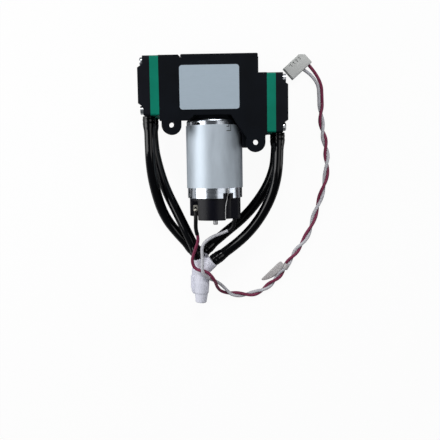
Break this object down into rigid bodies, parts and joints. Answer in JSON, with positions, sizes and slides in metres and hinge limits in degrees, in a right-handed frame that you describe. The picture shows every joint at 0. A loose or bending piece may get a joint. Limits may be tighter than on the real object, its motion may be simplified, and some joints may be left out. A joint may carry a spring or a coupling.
{
  "type": "vacuum pump",
  "caption": "Double-head diaphragm vacuum pump: brushed motor turns an eccentric whose rods flex opposed diaphragms; ported covers join through hoses and Y-fittings, leads end in a plug",
  "frame": {"origin": "on the back face, under the shaft, half way along it between the two connecting rods", "axes": "+X towards the right head, +Y along the shaft away from the motor, +Z from the back face towards the labelled front wall"},
  "size_m": [0.1292, 0.1719, 0.0382],
  "materials": {
    "casting_black": "satin black glass-filled moulding",
    "plate_green": "teal green moulding, slightly translucent",
    "cover_black": "satin black moulding",
    "screw_zinc": "zinc-plated steel",
    "label_silver": "silver foil label, blank",
    "seal_black": "black elastomer",
    "valve_pale": "amber elastomer",
    "rod_plastic": "black glass-filled moulding",
    "bearing_steel": "ground bearing steel",
    "alloy": "machined alloy",
    "can_nickel": "bright nickel-plated drawn steel",
    "sleeve_zinc": "zinc-plated rolled steel",
    "magnet_grey": "ferrite",
    "core_steel": "stacked steel laminations",
    "copper": "copper",
    "bronze": "bronze",
    "brush_carbon": "carbon",
    "cap_black": "black moulding with a slight sheen",
    "terminal_tin": "tinned brass",
    "hose_black": "glossy black rubber hose",
    "fitting_milky": "milky translucent moulding",
    "shrink_black": "black heat-shrink tube",
    "lead_red": "dark red wire insulation",
    "lead_white": "white wire insulation",
    "lead_mixed": "red and white wire insulation, twisted",
    "tape_white": "pale grey adhesive tape, folded",
    "plug_grey": "pale grey moulding"
  },
  "bodies": {
    "pump": {"brush_springs": "copper", "brushes": "brush_carbon", "cover_screws_left": "screw_zinc", "cover_screws_right": "screw_zinc", "crankcase": "casting_black", "diaphragm_left": "seal_black", "diaphragm_right": "seal_black", "end_cover": "casting_black", "end_cover_screws": "screw_zinc", "flux_sleeve": "sleeve_zinc", "front_bush": "bronze", "gallery_seals_left": "seal_black", "gallery_seals_right": "seal_black", "head_cover_left": "cover_black", "head_cover_right": "cover_black", "heat_shrink_left": "shrink_black", "heat_shrink_right": "shrink_black", "hose_left_lower": "hose_black", "hose_left_upper": "hose_black", "hose_right_lower": "hose_black", "hose_right_upper": "hose_black", "inlet_valve_left": "valve_pale", "inlet_valve_right": "valve_pale", "lead_pair": "lead_mixed", "magnets": "magnet_grey", "motor_can": "can_nickel", "motor_end_cap": "cap_black", "motor_screws": "screw_zinc", "outboard_bearing": "bearing_steel", "outlet_valve_left": "valve_pale", "outlet_valve_right": "valve_pale", "plug_contacts": "bronze", "plug_housing": "plug_grey", "rating_label": "label_silver", "rear_bush": "bronze", "red_lead": "lead_red", "tape_flag": "tape_white", "terminals": "terminal_tin", "valve_plate_left": "plate_green", "valve_plate_right": "plate_green", "white_lead": "lead_white", "wye_inlet": "fitting_milky", "wye_outlet": "fitting_milky"},
    "rotor": {"motor_shaft": "bearing_steel", "eccentric": "alloy", "eccentric_grub_screw": "screw_zinc", "rotor_core": "core_steel", "windings": "copper", "commutator": "copper"},
    "rod_left": {"connecting_rod_left": "rod_plastic", "rod_bearing_left": "bearing_steel", "clamp_disc_left": "alloy", "clamp_screw_left": "screw_zinc"},
    "rod_right": {"connecting_rod_right": "rod_plastic", "rod_bearing_right": "bearing_steel", "clamp_disc_right": "alloy", "clamp_screw_right": "screw_zinc"}
  },
  "joints": [
    {"name": "shaft_spin", "type": "hinge", "parent": "pump", "child": "rotor", "pos_m": [0, 0, 0.019], "axis": [0, 1, 0], "continuous": true},
    {"name": "rod_left_swing", "type": "hinge", "parent": "rotor", "child": "rod_left", "pos_m": [0.0013, 0.006, 0.019], "axis": [0, 1, 0], "continuous": true, "deforming": ["diaphragm_left"]},
    {"name": "rod_right_swing", "type": "hinge", "parent": "rotor", "child": "rod_right", "pos_m": [0.0013, -0.006, 0.019], "axis": [0, 1, 0], "continuous": true, "deforming": ["diaphragm_right"]}
  ],
  "couplings": [
    {"joint": "rod_left_swing", "follows": "shaft_spin", "ratio": -1},
    {"joint": "rod_right_swing", "follows": "shaft_spin", "ratio": -1}
  ]
}
